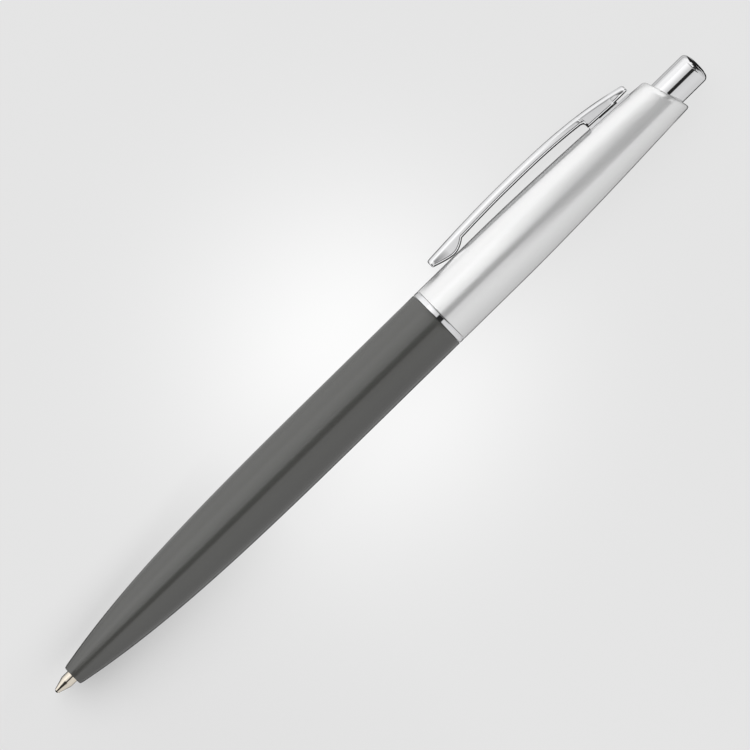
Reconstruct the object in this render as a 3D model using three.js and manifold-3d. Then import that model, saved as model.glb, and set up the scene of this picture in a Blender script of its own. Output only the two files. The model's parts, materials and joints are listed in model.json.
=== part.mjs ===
// A push-button ballpoint pen, in millimetres, lying on a surface with its tip towards -X.
// It is built in its own straight frame: X runs along the pen, +Y is the clip's side and
// distances along the pen, called s, start at the writing ball. The whole pen is then rolled
// until barrel and clip both touch the surface, which is z = 0.
import * as THREE from "three";
import { mergeVertices } from "three/addons/utils/BufferGeometryUtils.js";
import Module from "manifold-3d";

const wasm = await Module();
wasm.setup();

// Clearances
const seatGap = 0.05; // between faces that touch along the pen
const fitGap = 0.08; // radial, between pieces nested in each other
const runGap = 0.1; // radial, between pieces that turn or slide

// Facets round the pen, and round its smallest pieces
const roundSides = 36;
const smallSides = 16;
const edgeBreak = 0.12; // chamfer on plain turned edges

// Steps along the curved lines
const lowerSteps = 24;
const upperSteps = 13;
const innerSteps = 12;
const sleeveSteps = 10;
const armSteps = 16;
const footSteps = 4;
const rootSteps = 4;
const baseSteps = 8;
const hollowSteps = 20;
const cornerSteps = 4;
const domeSteps = 6;
const socketSteps = 8;
const ballSteps = 12;
const weldDistance = 1e-4; // points nearer than this are one point

// Refill: it is a bought part, so the pen is built round its length
const refillLength = 106.8;
const tubeRadius = 1.6;
const tubeWall = 0.45;
const neckRadius = 1.05;
const collarStep = 0.05;
const collarLength = 1;
const holderStem = 6;
const pointHidden = 1.35;
const pointCone = 2.3;
const pointStem = 4;
const pointStemStep = 0.35;
const ballRadius = 0.35;
const socketWall = 0.07;
const socketGap = 0.02;
const socketLip = 0.22;
const inkBore = 0.42;
const capillary = 0.2;
const inkLevel = 14.8; // from the tube's open end down to the ink

// Lower barrel: moulded shell with a long curved taper
const barrelRadius = 5.2;
const tipStickout = 3.65;
const lowerLength = 79.45;
const noseRadius = 1.75;
const noseRound = 0.2;
const lowerPower = 4.5;
const noseClearance = 0.15;
const noseBoreLength = 5.6;
const springRoom = 12.75;
const springClearance = 0.2;
const springBoreRun = 5;
const lowerBoreCone = 5;
const lowerBoreDraft = 0.2;
const spigotWall = 0.8;
const spigotLength = 8;
const spigotLead = 0.5;

// Centre ring and the threaded bush in the mouth of the upper barrel
const ringLength = 1;
const bushLength = 10;
const bushWall = 0.6;
const bushLip = 2;
const bushLipDepth = 0.5;

// Upper barrel: drawn metal shell, cut obliquely at its end
const upperStraight = 13.5;
const upperPower = 1.6;
const topRadius = 3.9;
const shellWall = 0.35;
const topWall = 0.6;
const topRound = 0.45;
const topSlope = Math.tan(THREE.MathUtils.degToRad(17));
const slopeRun = 7;
const taperLead = 2.5; // from the straight part to the taper's first section
const mechanismLength = 26.5; // from the refill's end to the upper barrel's end

// Push button
const buttonRadius = 2.7;
const buttonStickout = 6.7;
const buttonEdge = 0.9;
const buttonDome = 0.15;
const buttonFlat = 1.1;
const buttonWall = 0.45;
const buttonFaceWall = 0.8;

// Click mechanism
const pushTravel = 1.5;
const clickTravel = 5;
const grooveCount = 4;
const finStep = 0.2;
const finDepth = 0.7;
const finAngle = THREE.MathUtils.degToRad(34);
const ribAngle = THREE.MathUtils.degToRad(46);
const finLength = 4;
const finBevel = 0.8;
const rotorHead = 3.3;
const rotorSkirt = 2.35;
const rotorPin = 1.2;
const rotorPinLength = 3;
const ribClearance = 0.3;
const chamberRoom = 1.1;
const crownTeeth = 8;
const crownDepth = 0.9;
const plungerFinStart = 1.6;
const plungerFinLength = 2.6;
const plungerBoreDepth = 6;
const housingTopGap = 3.3;
const housingWall = 1.35;

// Return spring
const springWire = 0.16;
const springTurns = 12;
const springDead = 1;
const wireSides = 5;
const stepsPerTurn = 12;

// Clip: a pressed channel, open towards the barrel
const clipLength = 41;
const clipInset = 4;
const clipRise = 2.92;
const crestRun = 15.5;
const tailDrop = 0.62;
const tailPower = 1.6;
const rootDrop = 2.28;
const rootPower = 2.83;
const armDepth = 1.54;
const armRun = 6.55;
const footRun = 4.1;
const footFlat = 0.5;
const footTailPower = 1.3;
const footArmPower = 1.7;
const tailFace = 1.05;
const tailRound = 0.35;
const rootLength = 8.4;
const rootLift = 0.28;
const rootCorner = 0.5;
const notchRun = 2.9; // the root's edge steps up here, before the clip's rear end
const notchStep = 0.14;
const notchRise = 0.16;
const rearRound = 0.4;
const rearWall = 0.8;
const clipHalfWidth = 1.45;
const tailHalfWidth = 1.25;
const clipCorner = 1; // round edges between the clip's top and its sides
const clipCornerSteps = 3;
const clipSheet = 0.42;

// Clip base: strip under the clip's root, hooked through a slot in the barrel
const baseHeight = 0.1;
const baseOverhang = 0.3;
const baseHalfWidth = 1.52;
const baseTopHalfWidth = 1.38;
const tongueInset = 2.3;
const tongueLength = 3.6;
const tongueHalfWidth = 0.8;
const tongueReach = 0.5;
const hookLength = 0.8;
const hookDepth = 0.35;
const upstandHeight = 1;
const pocketRoom = 0.2; // round the tongue, in the housing

// Radii that follow from the sizes above
const shellBore = barrelRadius - shellWall;
const spigotRadius = shellBore - bushWall - 2 * fitGap;
const spigotBore = spigotRadius - spigotWall;
const lowerBore = spigotBore - lowerBoreDraft;
const tubeBore = tubeRadius - tubeWall;
const collarRadius = tubeRadius + collarStep;
const pointStemRadius = neckRadius - pointStemStep;
const noseBore = neckRadius + noseClearance;
const springBore = collarRadius + springClearance;
const springRadius = (neckRadius + springBore) / 2;
const boreRadius = buttonRadius + runGap;
const finRadius = buttonRadius + finStep;
const grooveRadius = finRadius + runGap;
const rotorRadius = finRadius - finDepth;
const plungerRadius = buttonRadius - buttonWall - runGap;

// Places along the pen
const ringFrom = tipStickout + lowerLength;
const upperFrom = ringFrom + ringLength;
const bushEnd = upperFrom + bushLength;
const tubeEnd = refillLength;
const upperEnd = tubeEnd + mechanismLength;
const penLength = upperEnd + buttonStickout;
const pointLength = tipStickout + pointHidden;
const springFrom = tipStickout + noseBoreLength;
const collarAt = springFrom + springRoom;
const finTop = tubeEnd + rotorHead;
const crownFrom = finTop + runGap;
const plungerFinFrom = crownFrom + plungerFinStart;
const ribFrom = finTop + ribClearance;
const ribEnd = plungerFinFrom + plungerFinLength + clickTravel + ribClearance;
const chamberFrom = finTop - finLength - pushTravel - chamberRoom;
const buttonFrom = ribEnd + pushTravel + chamberRoom;
const buttonRoof = penLength - buttonDome - buttonFaceWall;
const housingEnd = upperEnd - housingTopGap;
const clipEnd = upperEnd - clipInset;
const clipStart = clipEnd - clipLength;
const clipCrest = clipStart + crestRun;
const crestHeight = barrelRadius + clipRise;
const footAt = clipStart + footRun;
const armFrom = clipStart + armRun;
const rootFrom = clipEnd - rootLength;
const notchFrom = clipEnd - notchRun;
const tongueFrom = rootFrom + tongueInset;
const tongueEnd = tongueFrom + tongueLength;

// Solids from three.js geometry
function solidOf(geometry) {
  const plain = new THREE.BufferGeometry();
  const source = geometry.index ? geometry.toNonIndexed() : geometry;
  plain.setAttribute("position", source.getAttribute("position"));
  const merged = mergeVertices(plain, weldDistance);
  const vertProperties = merged.attributes.position.array;
  const triVerts = new Uint32Array(merged.index.array);
  return new wasm.Manifold(new wasm.Mesh({ numProp: 3, vertProperties, triVerts }));
}

function geometryOf(solid) {
  const { vertProperties, triVerts } = solid.getMesh();
  const geometry = new THREE.BufferGeometry();
  geometry.setAttribute("position", new THREE.BufferAttribute(vertProperties, 3));
  geometry.setIndex(new THREE.BufferAttribute(triVerts, 1));
  return geometry;
}

// A profile of [s, radius] points turned about the pen's axis: outer line towards +s first.
function revolve(profile, sides = roundSides) {
  const points = profile.map(([s, radius]) => new THREE.Vector2(radius, s));
  return new THREE.LatheGeometry(points, sides).rotateZ(-Math.PI / 2);
}

const turned = (profile, sides) => solidOf(revolve(profile, sides));

// Points of a curve radius = f(s), both ends included.
function along(f, from, to, steps) {
  return Array.from({ length: steps + 1 }, (_, i) => {
    const s = from + ((to - from) * i) / steps;
    return [s, f(s)];
  });
}

// A quarter round about a centre, from one angle to another, as [s, radius] points.
function arc(s, radius, size, fromAngle, toAngle, steps = cornerSteps) {
  return Array.from({ length: steps + 1 }, (_, i) => {
    const a = fromAngle + ((toAngle - fromAngle) * i) / steps;
    return [s + size * Math.cos(a), radius + size * Math.sin(a)];
  });
}

// A sector of a ring round the axis, between two radii and two places along the pen.
function sector(inner, outer, middle, angle, from, to) {
  const shape = new THREE.Shape();
  shape.absarc(0, 0, outer, middle - angle / 2, middle + angle / 2, false);
  shape.absarc(0, 0, inner, middle + angle / 2, middle - angle / 2, true);
  shape.closePath();
  const options = { depth: to - from, bevelEnabled: false, curveSegments: domeSteps };
  const geometry = new THREE.ExtrudeGeometry(shape, options);
  return solidOf(geometry.rotateY(Math.PI / 2).translate(from, 0, 0));
}

// A side outline of [s, height] points, extruded across the pen.
function plate(outline, halfWidth) {
  const shape = new THREE.Shape(outline.map(([s, h]) => new THREE.Vector2(s, h)));
  const geometry = new THREE.ExtrudeGeometry(shape, { depth: 2 * halfWidth, bevelEnabled: false });
  return solidOf(geometry.translate(0, 0, -halfWidth));
}

const joined = (solids) => solids.reduce((whole, next) => whole.add(next));
const turnOf = (index, count) => (2 * Math.PI * index) / count;

// Outer forms
function lowerRadius(s) {
  const share = Math.min(Math.max((s - tipStickout) / lowerLength, 0), 1);
  return noseRadius + (barrelRadius - noseRadius) * (1 - (1 - share) ** lowerPower);
}

function upperRadius(s) {
  const straightEnd = upperFrom + upperStraight;
  const share = Math.max(s - straightEnd, 0) / (upperEnd - straightEnd);
  return barrelRadius - (barrelRadius - topRadius) * share ** upperPower;
}

// Slides the points near the upper barrel's end along the pen, which makes the end oblique.
function cutObliquely(geometry) {
  const places = geometry.getAttribute("position");
  for (let i = 0; i < places.count; i++) {
    const s = places.getX(i);
    const share = THREE.MathUtils.smoothstep(s, upperEnd - slopeRun, upperEnd);
    places.setX(i, s - topSlope * share * places.getY(i));
  }
  return geometry;
}

function makeLowerBarrel() {
  const shoulder = ringFrom;
  const springBoreEnd = collarAt + springBoreRun;
  const outer = [
    ...arc(tipStickout + noseRound, lowerRadius(tipStickout) - noseRound, noseRound, Math.PI, Math.PI / 2),
    ...along(lowerRadius, tipStickout + 2 * noseRound, shoulder - edgeBreak, lowerSteps),
    [shoulder, barrelRadius - edgeBreak],
  ];
  const spigot = [
    [shoulder, spigotRadius],
    [shoulder + spigotLength - spigotLead, spigotRadius],
    [shoulder + spigotLength, spigotRadius - spigotLead],
    [shoulder + spigotLength, spigotBore],
  ];
  const bore = [
    [springBoreEnd + lowerBoreCone, lowerBore],
    [springBoreEnd, springBore],
    [springFrom, springBore],
    [springFrom, noseBore],
    [tipStickout, noseBore],
  ];
  const profile = [...outer, ...spigot, ...bore];
  return turned([...profile, profile[0]]);
}

function makeCentreRing() {
  const from = ringFrom + seatGap;
  const to = upperFrom - seatGap;
  const inner = spigotRadius + runGap;
  return turned([
    [from, inner],
    [from, barrelRadius - edgeBreak],
    [from + edgeBreak, barrelRadius],
    [to - edgeBreak, barrelRadius],
    [to, barrelRadius - edgeBreak],
    [to, inner],
    [from, inner],
  ]);
}

function makeUpperBarrel() {
  const inside = (s) => upperRadius(s) - shellWall;
  const endInside = upperEnd - topWall;
  const outer = [
    [upperFrom, barrelRadius - edgeBreak],
    [upperFrom + edgeBreak, barrelRadius],
    [upperFrom + upperStraight, barrelRadius],
    ...along(upperRadius, upperFrom + upperStraight + taperLead, upperEnd - topRound, upperSteps),
    ...arc(upperEnd - topRound, topRadius - topRound, topRound, Math.PI / 2, 0).slice(1),
  ];
  const hole = [
    [upperEnd, boreRadius],
    [endInside, boreRadius],
  ];
  const inner = [
    ...along(inside, endInside, upperFrom + upperStraight, innerSteps),
    [upperFrom, inside(upperFrom)],
    [upperFrom, barrelRadius - edgeBreak],
  ];
  const shell = solidOf(cutObliquely(revolve([...outer, ...hole, ...inner])));
  const slot = new THREE.BoxGeometry(
    tongueLength + 2 * runGap,
    2 * barrelRadius,
    2 * (tongueHalfWidth + runGap),
  );
  slot.translate(tongueFrom + tongueLength / 2, barrelRadius + runGap, 0);
  return shell.subtract(solidOf(slot));
}

function makeThreadedBush() {
  const outer = shellBore - fitGap;
  const bore = spigotRadius + fitGap;
  return turned([
    [upperFrom, bore],
    [upperFrom, outer],
    [bushEnd, outer],
    [bushEnd, bore - bushLipDepth],
    [bushEnd - bushLip, bore - bushLipDepth],
    [bushEnd - bushLip, bore],
    [upperFrom, bore],
  ]);
}

// Fixed cam of the click mechanism: ribs with deep grooves between them.
function makeMechanismHousing() {
  const from = bushEnd + seatGap;
  const outside = (s) => upperRadius(s) - shellWall - runGap;
  const mouth = outside(from) - housingWall;
  const sleeve = turned([
    [from, mouth],
    ...along(outside, from, housingEnd, sleeveSteps),
    [housingEnd, boreRadius],
    [ribEnd, boreRadius],
    [ribEnd, grooveRadius],
    [chamberFrom, grooveRadius],
    [chamberFrom - seatGap, mouth],
    [from, mouth],
  ]);
  const bottom = rotorRadius + runGap;
  const ribs = Array.from({ length: grooveCount }, (_, i) => {
    const middle = turnOf(i + 0.5, grooveCount);
    return sector(bottom, grooveRadius + fitGap, middle, ribAngle, ribFrom, ribEnd + seatGap);
  });
  const reach = upperRadius(tongueFrom) - shellWall - tongueReach - runGap;
  const pocket = new THREE.BoxGeometry(
    tongueLength + hookLength + 2 * pocketRoom,
    barrelRadius,
    2 * (tongueHalfWidth + pocketRoom),
  );
  const pocketMiddle = tongueFrom + (tongueLength + hookLength) / 2;
  pocket.translate(pocketMiddle, reach + barrelRadius / 2 - hookDepth, 0);
  return joined([sleeve, ...ribs]).subtract(solidOf(pocket));
}

function makePushButton() {
  const inner = buttonRadius - buttonWall;
  const sideEnd = penLength - buttonDome - buttonEdge;
  const profile = [
    [buttonFrom, inner],
    [buttonFrom, buttonRadius],
    ...arc(sideEnd, buttonRadius - buttonEdge, buttonEdge, Math.PI / 2, 0, domeSteps),
    [penLength, buttonFlat],
    [penLength, 0],
    [buttonRoof, 0],
    [buttonRoof, inner],
    [buttonFrom, inner],
  ];
  return turned(profile, roundSides);
}

// The crown: teeth round the plunger's lower end that push on the rotor's bevels.
function makePlunger() {
  const from = crownFrom;
  const top = buttonRoof - seatGap;
  const bore = rotorPin + runGap;
  const crownEnd = from + crownDepth;
  const tube = turned([
    [from, bore],
    [from, plungerRadius],
    [top, plungerRadius],
    [top, 0],
    [from + plungerBoreDepth, 0],
    [from + plungerBoreDepth, bore],
    [from, bore],
  ]);
  const finEnd = plungerFinFrom + plungerFinLength;
  const fins = Array.from({ length: grooveCount }, (_, i) =>
    sector(bore + fitGap, finRadius, turnOf(i, grooveCount), finAngle, plungerFinFrom, finEnd),
  );
  const notches = Array.from({ length: crownTeeth }, (_, i) => {
    const notch = new THREE.Shape();
    const halfPitch = (Math.PI * plungerRadius) / crownTeeth;
    notch.moveTo(from - seatGap, -halfPitch);
    notch.lineTo(crownEnd, 0);
    notch.lineTo(from - seatGap, halfPitch);
    const options = { depth: 2 * plungerRadius, bevelEnabled: false };
    const wedge = new THREE.ExtrudeGeometry(notch, options);
    return solidOf(wedge.rotateX(turnOf(i, crownTeeth)));
  });
  return notches.reduce((body, notch) => body.subtract(notch), joined([tube, ...fins]));
}

// The rotor: a ratchet ring whose fins run in the deep grooves or stand under the ribs.
function makeRotor() {
  const from = tubeEnd - rotorSkirt;
  const socket = tubeRadius + fitGap;
  const shoulder = finTop - finBevel;
  const core = turned([
    [from, socket],
    [from, rotorRadius],
    [shoulder, rotorRadius],
    [finTop, rotorPin + fitGap],
    [finTop, rotorPin],
    [finTop + rotorPinLength, rotorPin - fitGap],
    [finTop + rotorPinLength, 0],
    [tubeEnd + seatGap, 0],
    [tubeEnd + seatGap, socket],
    [from, socket],
  ]);
  const fins = Array.from({ length: grooveCount }, (_, i) => {
    const middle = turnOf(i, grooveCount);
    const blank = sector(rotorRadius - fitGap, finRadius, middle, finAngle, finTop - finLength, finTop);
    // the bevel runs across the fin, so that each push turns the rotor the same way
    const bevel = new THREE.Shape();
    const halfWidth = finRadius * Math.sin(finAngle);
    bevel.moveTo(finTop, -halfWidth);
    bevel.lineTo(finTop + finBevel, -halfWidth);
    bevel.lineTo(finTop + finBevel, halfWidth);
    bevel.lineTo(finTop - finBevel * 2, halfWidth);
    const options = { depth: 2 * finRadius, bevelEnabled: false };
    const cutter = new THREE.ExtrudeGeometry(bevel, options);
    return blank.subtract(solidOf(cutter.rotateX(-middle)));
  });
  return joined([core, ...fins]);
}

function makeRefillTube() {
  const from = collarAt + collarLength + seatGap;
  return turned(
    [
      [from, tubeBore],
      [from, tubeRadius],
      [tubeEnd, tubeRadius],
      [tubeEnd, tubeBore],
      [from, tubeBore],
    ],
    smallSides,
  );
}

function makeTipHolder() {
  const from = pointLength + seatGap;
  const collarEnd = collarAt + collarLength;
  const end = collarEnd + holderStem;
  const socket = pointStemRadius + fitGap;
  const socketEnd = pointLength + pointStem + seatGap;
  return turned(
    [
      [from, socket],
      [from, neckRadius],
      [collarAt, neckRadius],
      [collarAt, collarRadius],
      [collarEnd, collarRadius],
      [collarEnd, tubeBore - fitGap],
      [end, tubeBore - fitGap],
      [end, inkBore],
      [socketEnd, inkBore],
      [socketEnd, socket],
      [from, socket],
    ],
    smallSides,
  );
}

// Writing point: cone, ball socket that closes past the ball's middle, and a stem.
function makeWritingPoint() {
  const hollow = ballRadius + socketGap;
  const lipAngle = Math.PI - Math.acos((ballRadius - socketLip) / hollow);
  const seatAngle = Math.asin(capillary / hollow);
  const lipRadius = hollow * Math.sin(lipAngle);
  return turned(
    [
      [socketLip, lipRadius + socketWall],
      [pointCone, neckRadius],
      [pointLength, neckRadius],
      [pointLength, pointStemRadius],
      [pointLength + pointStem, pointStemRadius],
      [pointLength + pointStem, capillary],
      ...arc(ballRadius, 0, hollow, seatAngle, lipAngle, socketSteps),
      [socketLip, lipRadius + socketWall],
    ],
    smallSides,
  );
}

function makeBall() {
  const outline = arc(ballRadius, 0, ballRadius, Math.PI, 0, ballSteps);
  return turned(outline.map(([s, radius]) => [s, Math.max(radius, 0)]), smallSides);
}

function makeInk() {
  const pointEnd = pointLength + pointStem;
  const holderEnd = collarAt + collarLength + holderStem;
  const from = 2 * ballRadius + 3 * socketGap;
  return turned(
    [
      [from, 0],
      [from, capillary - socketGap],
      [pointEnd + seatGap, capillary - socketGap],
      [pointEnd + 2 * seatGap, inkBore - seatGap],
      [holderEnd + seatGap, inkBore - seatGap],
      [holderEnd + seatGap, tubeBore - seatGap],
      [tubeEnd - inkLevel, tubeBore - seatGap],
      [tubeEnd - inkLevel, 0],
    ],
    smallSides,
  );
}

// Round wire wound on a helix, with a closed turn at each end.
function makeReturnSpring() {
  const from = springFrom + seatGap + springWire;
  const to = collarAt - seatGap - springWire;
  const deadPitch = 2 * springWire + seatGap;
  const freeRise = to - from - 2 * springDead * deadPitch;
  const riseAt = (turn) => {
    const inFirst = Math.min(turn, springDead);
    const inLast = Math.max(turn - (springTurns - springDead), 0);
    const free = (turn - inFirst - inLast) / (springTurns - 2 * springDead);
    return from + (inFirst + inLast) * deadPitch + free * freeRise;
  };
  const steps = springTurns * stepsPerTurn;
  const points = [];
  for (let i = 0; i <= steps; i++) {
    const turn = i / stepsPerTurn;
    const angle = 2 * Math.PI * turn;
    for (let k = 0; k < wireSides; k++) {
      const around = turnOf(k, wireSides);
      const radius = springRadius + springWire * Math.cos(around);
      const s = riseAt(turn) + springWire * Math.sin(around);
      points.push(s, radius * Math.cos(angle), radius * Math.sin(angle));
    }
  }
  const triangles = [];
  for (let i = 0; i < steps; i++) {
    for (let k = 0; k < wireSides; k++) {
      const a = i * wireSides + k;
      const b = i * wireSides + ((k + 1) % wireSides);
      triangles.push(a, a + wireSides, b, b, a + wireSides, b + wireSides);
    }
  }
  for (let k = 1; k < wireSides - 1; k++) {
    const last = steps * wireSides;
    triangles.push(0, k, k + 1, last, last + k + 1, last + k);
  }
  const geometry = new THREE.BufferGeometry();
  geometry.setAttribute("position", new THREE.Float32BufferAttribute(points, 3));
  geometry.setIndex(triangles);
  return solidOf(geometry);
}

// Clip lines, as heights above the pen's axis
function clipTop(s) {
  if (s < clipCrest) {
    const share = (clipCrest - s) / (clipCrest - clipStart);
    return crestHeight - tailDrop * share ** tailPower;
  }
  const share = (s - clipCrest) / (clipEnd - clipCrest);
  return crestHeight - rootDrop * share ** rootPower;
}

const armUnderside = (s) => clipTop(s) - armDepth;
const rootUnderside = (s) => upperRadius(s) + rootLift;

// Behind the notch the root's edge stands clear of the base, and rises to the rear.
function notchUnderside(s) {
  return rootUnderside(s) + notchStep + (notchRise * (s - notchFrom)) / notchRun;
}

function clipHalf(s) {
  const share = THREE.MathUtils.clamp((s - clipStart) / (rootFrom - clipStart), 0, 1);
  return tailHalfWidth + (clipHalfWidth - tailHalfWidth) * share;
}

// The clip's lower line: tail, foot on the barrel, arm, and root over its base.
function clipUnderline() {
  const foot = upperRadius(footAt) + seatGap;
  const tailTo = clipStart + tailRound;
  const tail = clipTop(clipStart) - tailFace - tailRound;
  const footFrom = footAt - footFlat;
  const tailSide = (s) => foot + (tail - foot) * ((footFrom - s) / (footFrom - tailTo)) ** footTailPower;
  const arm = armUnderside(armFrom);
  const armSide = (s) => foot + (arm - foot) * ((s - footAt) / (armFrom - footAt)) ** footArmPower;
  return [
    ...along(tailSide, tailTo, footFrom, footSteps),
    ...along(armSide, footAt, armFrom, footSteps).slice(0, -1),
    ...along(armUnderside, armFrom, rootFrom - rootCorner, armSteps),
    ...arc(rootFrom - rootCorner, armUnderside(rootFrom) - rootCorner, rootCorner, Math.PI / 2, 0),
    ...along(rootUnderside, rootFrom + seatGap, notchFrom - seatGap, rootSteps),
    ...along(notchUnderside, notchFrom, clipEnd - rearRound, 2),
  ];
}

// The clip's section at s: flat top, round corners and upright sides down to a lower edge.
// The inset makes the smaller section of the hollow, and of the two rounded ends.
function clipSection(s, low, inset) {
  const half = clipHalf(s) - inset;
  const corner = clipCorner - inset;
  const centre = clipTop(s) - clipCorner;
  const rounded = Array.from({ length: clipCornerSteps + 1 }, (_, i) => {
    const angle = (Math.PI * i) / (2 * clipCornerSteps);
    return [s, centre + corner * Math.sin(angle), half - corner + corner * Math.cos(angle)];
  });
  const side = [[s, low, half], ...rounded];
  return [...side, ...side.map(([at, height, width]) => [at, height, -width]).reverse()];
}

function clipSections() {
  const line = clipUnderline();
  const tail = line[0][1];
  const rear = line[line.length - 1][1];
  return [
    clipSection(clipStart, tail + tailRound, tailRound),
    ...line.map(([s, low]) => clipSection(s, low, 0)),
    clipSection(clipEnd, rear + seatGap, rearRound),
  ];
}

// A solid through sections with equal counts of points, closed at both ends.
function loft(sections) {
  const count = sections[0].length;
  const last = (sections.length - 1) * count;
  const triangles = [];
  for (let row = 0; row < last; row += count) {
    for (let k = 0; k < count; k++) {
      const next = (k + 1) % count;
      triangles.push(row + k, row + count + k, row + next);
      triangles.push(row + next, row + count + k, row + count + next);
    }
  }
  for (let k = 1; k < count - 1; k++) {
    triangles.push(0, k, k + 1, last, last + k + 1, last + k);
  }
  const geometry = new THREE.BufferGeometry();
  geometry.setAttribute("position", new THREE.Float32BufferAttribute(sections.flat(2), 3));
  geometry.setIndex(triangles);
  return solidOf(geometry);
}

function makeClip() {
  // the hollow of the channel, open towards the barrel
  const places = along(clipTop, armFrom - seatGap, clipEnd - rearWall, hollowSteps);
  const hollow = places.map(([s]) => clipSection(s, 0, clipSheet));
  return loft(clipSections()).subtract(loft(hollow));
}

function makeClipBase() {
  const from = rootFrom + seatGap;
  const to = clipEnd - baseOverhang;
  const top = (s) => upperRadius(s) + seatGap + baseHeight;
  const low = (s) => upperRadius(s) - shellWall;
  // the strip's sides lean out towards the barrel
  const strip = loft(
    along(top, from, to, rootSteps).map(([s, height]) => [
      [s, low(s), baseHalfWidth],
      [s, height, baseTopHalfWidth],
      [s, height, -baseTopHalfWidth],
      [s, low(s), -baseHalfWidth],
    ]),
  );
  const bed = turned([
    [rootFrom, 0],
    ...along((s) => upperRadius(s) + seatGap, rootFrom, clipEnd, baseSteps),
    [clipEnd, 0],
  ]);
  const tongueLow = upperRadius(tongueFrom) - shellWall - tongueReach;
  const hookTop = upperRadius(tongueEnd + hookLength) - shellWall - fitGap;
  const tongue = plate(
    [
      [tongueFrom, tongueLow],
      [tongueEnd + hookLength, hookTop - hookDepth],
      [tongueEnd + hookLength, hookTop],
      [tongueEnd, hookTop],
      [tongueEnd, top(tongueEnd) - seatGap],
      [tongueFrom, top(tongueFrom) - seatGap],
    ],
    tongueHalfWidth,
  );
  const upstand = plate(
    [
      [tongueFrom, top(tongueFrom) - seatGap],
      [tongueEnd, top(tongueEnd) - seatGap],
      [tongueEnd, top(tongueEnd) + upstandHeight - clipSheet],
      [tongueFrom, top(tongueFrom) + upstandHeight],
    ],
    tailHalfWidth - clipSheet - fitGap,
  );
  return joined([strip.subtract(bed), tongue, upstand]);
}

// Finishes
const finish = (color, roughness, metalness) =>
  new THREE.MeshStandardMaterial({ color, roughness, metalness });

const pieces = [
  ["lower_barrel", makeLowerBarrel, finish(0x5a5a57, 0.3, 0)],
  ["centre_ring", makeCentreRing, finish(0xd8d8d8, 0.08, 1)],
  ["upper_barrel", makeUpperBarrel, finish(0xcfcfcf, 0.4, 1)],
  ["threaded_bush", makeThreadedBush, finish(0xc9a75a, 0.35, 1)],
  ["mechanism_housing", makeMechanismHousing, finish(0xe6e6e2, 0.5, 0)],
  ["clip", makeClip, finish(0xdcdcdc, 0.1, 1)],
  ["clip_base", makeClipBase, finish(0xdcdcdc, 0.12, 1)],
  ["push_button", makePushButton, finish(0xdedede, 0.06, 1)],
  ["plunger", makePlunger, finish(0xd9d9d2, 0.5, 0)],
  ["rotor", makeRotor, finish(0xc2c2ba, 0.5, 0)],
  ["refill_tube", makeRefillTube, finish(0xc8b27a, 0.3, 1)],
  ["tip_holder", makeTipHolder, finish(0xc9a75a, 0.3, 1)],
  ["writing_point", makeWritingPoint, finish(0xd2c19a, 0.25, 1)],
  ["writing_ball", makeBall, finish(0x9a9a98, 0.2, 1)],
  ["ink", makeInk, finish(0x14182e, 0.6, 0)],
  ["return_spring", makeReturnSpring, finish(0xb9bcc0, 0.25, 1)],
];

const pen = new THREE.Group();
for (const [name, make, material] of pieces) {
  const piece = new THREE.Mesh(geometryOf(make()), material);
  piece.name = name;
  pen.add(piece);
}

// The roll that lays both the barrel and the clip's side on the surface
const restingRoll = ([, height, side]) =>
  Math.asin(barrelRadius / Math.hypot(height, side)) - Math.atan2(side, height);
const beyondBarrel = ([, height, side]) => side > 0 && Math.hypot(height, side) > barrelRadius;
const rolls = clipSections().flat().filter(beyondBarrel).map(restingRoll);
pen.rotation.x = -Math.min(...rolls);

const part = new THREE.Group();
part.add(pen);
part.updateMatrixWorld(true);
const box = new THREE.Box3().setFromObject(part, true);
const middle = box.getCenter(new THREE.Vector3());
pen.position.set(-middle.x, -middle.y, -box.min.z);

export default part;
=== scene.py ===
# A push-button ballpoint pen lying on a pale floor, in metres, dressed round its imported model.
import json
import math

import bpy
import numpy as np
from mathutils import Matrix, Vector


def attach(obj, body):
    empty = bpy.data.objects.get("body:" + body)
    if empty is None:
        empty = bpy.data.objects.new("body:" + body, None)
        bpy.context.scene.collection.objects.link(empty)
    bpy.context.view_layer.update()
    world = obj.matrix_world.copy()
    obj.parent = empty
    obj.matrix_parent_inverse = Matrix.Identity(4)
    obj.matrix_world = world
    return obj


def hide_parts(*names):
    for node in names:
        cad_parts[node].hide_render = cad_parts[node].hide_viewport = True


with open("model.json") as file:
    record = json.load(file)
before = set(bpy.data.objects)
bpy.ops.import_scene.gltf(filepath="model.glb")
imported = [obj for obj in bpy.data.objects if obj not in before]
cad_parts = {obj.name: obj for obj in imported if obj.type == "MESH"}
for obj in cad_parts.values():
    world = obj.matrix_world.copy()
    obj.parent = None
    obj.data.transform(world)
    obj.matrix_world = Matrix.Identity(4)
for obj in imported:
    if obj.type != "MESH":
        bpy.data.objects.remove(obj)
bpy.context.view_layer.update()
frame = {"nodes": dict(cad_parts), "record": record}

MM = 0.001
TINY = 1e-6
SQUARE = [(-1, -1), (1, -1), (1, 1), (-1, 1)]

# Pen frame: s runs along the pen from the ball, Y is the clip's side, Z looks at the camera
BALL_X = -0.070
ROLL = math.radians(33.203)
_, AXIS_Y, AXIS_Z = frame["record"]["mounts"][0]["pos_m"]
CLIP_SIDE = Vector((0, math.cos(ROLL), -math.sin(ROLL)))
FACE_SIDE = Vector((0, math.sin(ROLL), math.cos(ROLL)))
PEN_TO_ROW = (
    Matrix.Translation((BALL_X, AXIS_Y, AXIS_Z))
    @ Matrix.Rotation(-ROLL, 4, "X")
    @ Matrix.Scale(MM, 4)
)

# Sizes in mm: those of the solids, with finer details, and a barrel radius 0.01 under theirs
PEN_LENGTH = 140
BARREL_RADIUS = 5.19
EDGE = 0.12
FINE_EDGE = EDGE / 2
SEAT_GAP = 0.05

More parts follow.
